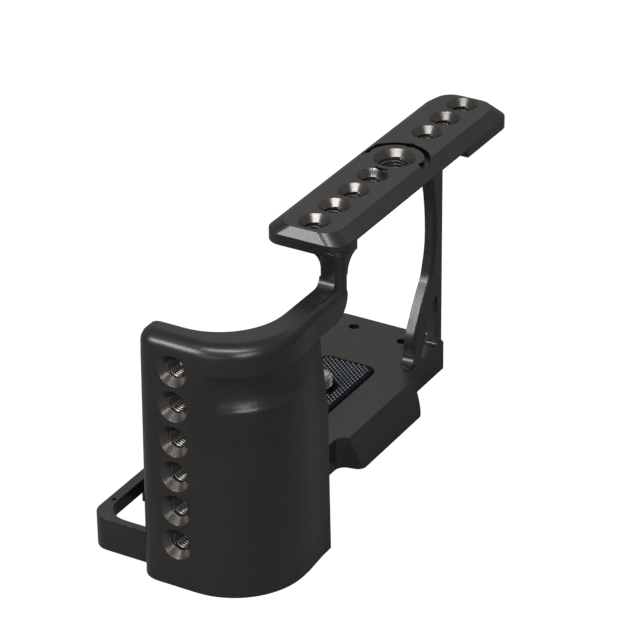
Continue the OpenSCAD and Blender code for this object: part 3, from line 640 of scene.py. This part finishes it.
def tap(name, holes, bore, start, length):
    """Copies one ridge into every hole, from the depth start for length, as one piece."""
    model = ridge(name, bore + FOOT_SUNK, bore - RING_PITCH * TOOTH_HIGH, RING_PITCH, length)
    pieces = []
    for place, out in holes:
        piece = bpy.data.objects.new(name, model.data.copy())
        bpy.context.scene.collection.objects.link(piece)
        turn = Vector((0, 0, 1)).rotation_difference(out).to_matrix().to_4x4()
        piece.data.transform(Matrix.Translation(place - out * (start + length)) @ turn)
        pieces.append(piece)
    bpy.data.objects.remove(model)
    pick(pieces[0])
    for piece in pieces:
        piece.select_set(True)
    if len(pieces) > 1:
        bpy.ops.object.join()
    pieces[0].name = name
    settle(pieces[0], turned, "cage")
    print(name, "in", len(holes), "holes:", len(pieces[0].data.polygons), "faces")


bar_run = BAR_THICK - MOUTH_DEEP - MOUTH_SMALL
flank_run = FLANK_THICK - MOUTH_DEEP - FLANK_LEAN
base_run = TRIPOD_DEEP - MOUTH_SMALL
tap("bar_threads", quarter_bar, quarter_bore, MOUTH_DEEP, bar_run)
tap("bar_centre_threads", centre_bar, centre_bore, MOUTH_DEEP, bar_run)
tap("flank_threads", flank, quarter_bore, MOUTH_DEEP + FLANK_START, flank_run)
tap("base_threads", quarter_base, quarter_bore, MOUTH_SMALL, base_run)
tap("base_centre_thread", centre_base, centre_bore, MOUTH_SMALL, base_run)

# %% [markdown]
# ## The camera screw
#
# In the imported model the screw's thread is a plain cylinder. A copy of that node
# is cut off at the foot of the thread with Bisect, which keeps the neck and the
# knurled head. A core with a chamfered tip and a wound ridge of the real pitch
# take the place of the cylinder.

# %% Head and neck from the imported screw
CUT_UNDER_TOP = 0.3 * MM

screw = merged_copy("camera_screw", "camera_screw_threaded")
bpy.ops.object.mode_set(mode="EDIT")
bpy.ops.mesh.select_all(action="SELECT")
bpy.ops.mesh.bisect(plane_co=datum - Vector((0, 0, CUT_UNDER_TOP)), plane_no=(0, 0, 1),
                    use_fill=True, clear_outer=True)
bpy.ops.object.mode_set(mode="OBJECT")
print("head and neck:", len(screw.data.polygons), "faces")

# %% Core with a chamfered tip
CORE_RADIUS = 2.45 * MM
CORE_SIDES = 48
TIP = 0.8 * MM
CHAMFER_SHARE = 0.6
TOP_WITHIN = 0.01 * MM

thread_high = screw_high.z - base_top
bpy.ops.object.select_all(action="DESELECT")
bpy.ops.mesh.primitive_cylinder_add(vertices=CORE_SIDES, radius=CORE_RADIUS,
                                    depth=thread_high + TIP)
core = bpy.context.object
core.data.transform(Matrix.Translation(datum + Vector((0, 0, (thread_high - TIP) / 2))))
bpy.ops.object.mode_set(mode="EDIT")
bpy.ops.mesh.select_all(action="DESELECT")
bpy.ops.object.mode_set(mode="OBJECT")
for edge in core.data.edges:
    ends = [core.data.vertices[index].co.z for index in edge.vertices]
    edge.select = min(ends) > screw_high.z - TOP_WITHIN
bpy.ops.object.mode_set(mode="EDIT")
bpy.ops.mesh.select_mode(type="EDGE")
bpy.ops.mesh.bevel(offset=TIP * CHAMFER_SHARE, segments=2)
bpy.ops.object.mode_set(mode="OBJECT")
print("core:", len(core.data.polygons), "faces")

# %% The real thread round the core
SCREW_PITCH = 1.27 * MM
SCREW_RADIUS = 3.175 * MM
SCREW_ANGLE = 28
CORE_OVERLAP = 0.1 * MM
BARE_TIP_SHARE = 0.4

winding = ridge("winding", CORE_RADIUS - CORE_OVERLAP, SCREW_RADIUS, SCREW_PITCH,
                thread_high - TIP * BARE_TIP_SHARE)
winding.data.transform(Matrix.Translation(datum))
pick(screw)
core.select_set(True)
winding.select_set(True)
bpy.ops.object.join()
bpy.ops.object.shade_smooth_by_angle(angle=math.radians(SCREW_ANGLE))
settle(screw, stainless, "screw")
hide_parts("camera_screw")
print("camera screw:", len(screw.data.polygons), "faces")

# %% [markdown]
# ## The mesh face of the pad
#
# The pad is a thin slab of rubber, bonded into a shallow recess. Its face is a
# close mesh of small raised pips in staggered rows, which grips the camera. One
# pip is a low dome of a few faces. Two Array modifiers repeat a pair of them
# over the pad, and the pips past the rounded outline or over the hole are
# deleted by their place. An image or a bump would flatten at a low view, and
# the photograph is taken from one.

# %% One pair of pips, repeated
PIP_STEP = 1.4 * MM
ROW_STEP = 1.8 * MM
PIP_LONG = 0.38 * MM
PIP_WIDE = 0.34 * MM
PIP_HIGH = 0.36 * MM
PIP_SUNK = 0.04 * MM
# Place of the first pip, as shares of the steps
FIRST_COLUMN, FIRST_ROW = 0.5, 0.4

pip_pair = []
for shift in (0, 0.5):
    bpy.ops.object.select_all(action="DESELECT")
    bpy.ops.mesh.primitive_uv_sphere_add(segments=8, ring_count=4, radius=1)
    pip = bpy.context.object
    pip.data.transform(Matrix.Diagonal((PIP_LONG, PIP_WIDE, PIP_HIGH, 1)))
    pip.data.transform(Matrix.Translation((pad_low.x + PIP_STEP * (FIRST_COLUMN + shift),
                                           pad_low.y + ROW_STEP * (FIRST_ROW + shift),
                                           pad_high.z - PIP_SUNK)))
    pip_pair.append(pip)
pick(pip_pair[0])
pip_pair[1].select_set(True)
bpy.ops.object.join()
pips = bpy.context.object
pips.name = "pad_pips_painted_highlight"
columns = int((pad_high.x - pad_low.x) / PIP_STEP) + 1
rows = int((pad_high.y - pad_low.y) / ROW_STEP) + 1
repeats = (("columns", columns, (PIP_STEP, 0, 0)), ("rows", rows, (0, ROW_STEP, 0)))
for label, count, offset in repeats:
    repeat = pips.modifiers.new(label, "ARRAY")
    repeat.count = count
    repeat.use_relative_offset = False
    repeat.use_constant_offset = True
    repeat.constant_offset_displace = offset
    bpy.ops.object.modifier_apply(modifier=repeat.name)
print("pips:", 2 * columns * rows)

# %% Delete the pips that lie off the pad
# The pips keep this far from the pad's edge and from its hole
PAD_EDGE = 0.55 * MM
PAD_CORNER = 2.5 * MM
PAD_HOLE = 4.0 * MM


def off_pad(point):
    """True past the pad's rounded outline, or over its hole."""
    half = (pad_high - pad_low) / 2 - Vector((PAD_EDGE, PAD_EDGE, 0))
    centre = (pad_high + pad_low) / 2
    dx = abs(point.x - centre.x) - (half.x - PAD_CORNER)
    dy = abs(point.y - centre.y) - (half.y - PAD_CORNER)
    outside = math.hypot(max(dx, 0), max(dy, 0)) > PAD_CORNER or max(dx, dy) > PAD_CORNER
    hole = math.hypot(point.x - datum.x, point.y - datum.y) < PAD_HOLE + PAD_EDGE
    return outside or hole


bpy.ops.object.mode_set(mode="EDIT")
bpy.ops.mesh.select_mode(type="VERT")
bpy.ops.mesh.select_all(action="DESELECT")
bpy.ops.object.mode_set(mode="OBJECT")
for vertex in pips.data.vertices:
    vertex.select = off_pad(vertex.co)
bpy.ops.object.mode_set(mode="EDIT")
bpy.ops.mesh.select_linked()
bpy.ops.mesh.delete(type="VERT")
bpy.ops.object.mode_set(mode="OBJECT")
bpy.ops.object.shade_smooth()
# The pips take the blue grey of the painted highlight
settle(pips, pad_pips_painted_highlight, "cage")
print("faces of the pips on the pad:", len(pips.data.polygons))

# %% [markdown]
# ## The small parts
#
# The screws, dowels, pad and washer keep their own shapes, which are right as
# packed. Each only needs the finish of what it is made of, and the record says
# which that is.

# %% Finishes of the nodes that keep their shape
# The pad's slab takes the web's black, with its painted shade
FINISH_OF = {"screw_steel": stainless, "black_steel": oxide, "pad_rubber": pad_web_black_and_painted_shade,
             "nylon": nylon, "anodised": blasted}

slot_of = {row["node"]: row["material_slot"] for row in frame["record"]["subparts"]}
for node, obj in frame["nodes"].items():
    obj.data.materials.clear()
    obj.data.materials.append(FINISH_OF[slot_of[node]])
print("nodes with a finish:", len(frame["nodes"]))

# %% [markdown]
# ## Floor
#
# The photograph is a cut-out on pure white. A white floor under strong light
# would wash out the black metal, so the floor glows white only where the camera
# looks at it, straight or through something clear. About a seventh of it is an
# ordinary lit surface, which keeps a faint shadow. Reflections in the metal, and
# the light thrown back on it, come from a mid grey.

# %% Floor
FLOOR_SIZE = 6.0
FLOOR_UNDER = 0.05 * MM
SHADOW_SHARE = 0.14
# Above 1, because the lit share is darker than white
GLOW = 1.12

bpy.ops.object.select_all(action="DESELECT")
bpy.ops.mesh.primitive_plane_add(size=FLOOR_SIZE, location=(0, 0, -FLOOR_UNDER))
floor = bpy.context.object
floor.name = "floor"
paper, paper_tree, _ = start_material("white_paper_sweep")
rays = add(paper_tree, "ShaderNodeLightPath")
seen = add(paper_tree, "ShaderNodeMath", {"operation": "MAXIMUM"},
           {0: rays.outputs["Is Camera Ray"], 1: rays.outputs["Is Transmission Ray"]})
shown = add(paper_tree, "ShaderNodeMath", {"operation": "MULTIPLY", 1: 1 - SHADOW_SHARE},
            {0: seen.outputs[0]})
tint = add(paper_tree, "ShaderNodeMix",
           {"data_type": "RGBA", 6: linear("#858585"), 7: linear("#f4f4f4")},
           {0: rays.outputs["Is Camera Ray"]})
lit = add(paper_tree, "ShaderNodeBsdfDiffuse", None, {"Color": tint.outputs[2]})
glow = add(paper_tree, "ShaderNodeEmission", {"Color": (1, 1, 1, 1), "Strength": GLOW})
paper_mix = add(paper_tree, "ShaderNodeMixShader", None,
                {0: shown.outputs[0], 1: lit.outputs[0], 2: glow.outputs[0]})
add(paper_tree, "ShaderNodeOutputMaterial", None, {"Surface": paper_mix.outputs[0]})
floor.data.materials.append(paper)
print("floor:", FLOOR_SIZE, "m wide")

# %% [markdown]
# ## World
#
# The world is white to the camera, where its strength is 1, and a dim even fill
# to the object. A brighter fill would lift the shaded faces from the near black
# that they have in the photograph.

# %% World
SKY = 0.29

world = bpy.data.worlds.new("studio")
bpy.context.scene.world = world
world.use_nodes = True
sky = world.node_tree
sky.nodes.clear()
sky_rays = add(sky, "ShaderNodeLightPath")
dim = add(sky, "ShaderNodeBackground", {"Color": (1, 1, 1, 1), "Strength": SKY})
white = add(sky, "ShaderNodeBackground", {"Color": (1, 1, 1, 1), "Strength": 1.0})
sky_mix = add(sky, "ShaderNodeMixShader", None,
              {0: sky_rays.outputs["Is Camera Ray"], 1: dim.outputs[0], 2: white.outputs[0]})
add(sky, "ShaderNodeOutputWorld", None, {"Surface": sky_mix.outputs[0]})
print("fill of the world:", SKY)

# %% [markdown]
# ## Soft boxes
#
# Black metal is lit by what it reflects. The three strong boxes stand where the
# photograph's highlights say that a light was: a long narrow one overhead draws
# the line along the shell's rim and the bright wedge in each hole, one at the
# left lights the bevel at the bar's near end, and one at the front left shapes
# the shell. Three weak ones keep the other sides from going black.

# %% Soft boxes
# The point that they face, near the cage's middle
AIM = Vector((0, 0, 0.04))
LAMPS = [
    # name, direction from the cage, distance, width, height in metres, watts
    ("left_box", (-0.76, 0.46, 0.49), 1.0, 0.34, 0.26, 4.0),
    ("front_left_box", (-0.57, -0.66, 0.51), 1.1, 0.40, 0.22, 2.6),
    ("overhead_box", (-0.40, -0.12, 0.85), 1.0, 0.80, 0.15, 5.8),
    ("back_box", (0.66, 0.30, 0.55), 1.2, 0.90, 0.55, 0.5),
    ("right_box", (0.62, -0.28, 0.72), 1.0, 0.40, 0.40, 0.2),
    ("low_left_box", (-0.93, 0.00, 0.25), 1.0, 0.50, 0.25, 0.6),
]

for name, direction, distance, width, height, watts in LAMPS:
    lamp = bpy.data.lights.new(name, "AREA")
    lamp.shape = "RECTANGLE"
    lamp.size, lamp.size_y, lamp.energy = width, height, watts
    box = bpy.data.objects.new(name, lamp)
    bpy.context.scene.collection.objects.link(box)
    box.location = AIM + Vector(direction).normalized() * distance
    box.rotation_euler = Vector(direction).to_track_quat("Z", "Y").to_euler()
print("soft boxes:", len(LAMPS), "with", round(sum(row[-1] for row in LAMPS), 1), "watts")

# %% [markdown]
# ## Camera
#
# The camera was worked out from the straight edges and the hole pitch in the
# photograph: where it stands, which way it looks, its slight roll and its focal
# length, with no shift. It is 0.9 m away with a long lens, so the view is
# nearly flat.

# %% Camera at the photograph's view
LENS = 183.66
SENSOR = 36
NEAREST, FARTHEST = 0.01, 20
AZIMUTH, ELEVATION, ROLL = (math.radians(a) for a in (30.2648, 28.5154, -0.6448))
EYE = Vector((-0.65319, -0.386735, 0.45678))

ahead = Vector((math.cos(ELEVATION) * math.cos(AZIMUTH),
                math.cos(ELEVATION) * math.sin(AZIMUTH), -math.sin(ELEVATION)))
level = ahead.cross(Vector((0, 0, 1))).normalized()
upright = level.cross(ahead)
right = level * math.cos(ROLL) + upright * math.sin(ROLL)
up = upright * math.cos(ROLL) - level * math.sin(ROLL)
lens = bpy.data.cameras.new("camera")
lens.lens, lens.sensor_width = LENS, SENSOR
lens.clip_start, lens.clip_end = NEAREST, FARTHEST
camera = bpy.data.objects.new("camera", lens)
bpy.context.scene.collection.objects.link(camera)
camera.matrix_world = Matrix.Translation(EYE) @ Matrix((right, up, -ahead)).transposed().to_4x4()
bpy.context.scene.camera = camera
bpy.context.scene.view_settings.view_transform = "Standard"
print("camera to the cage's middle in m:", round((EYE - AIM).length, 3))
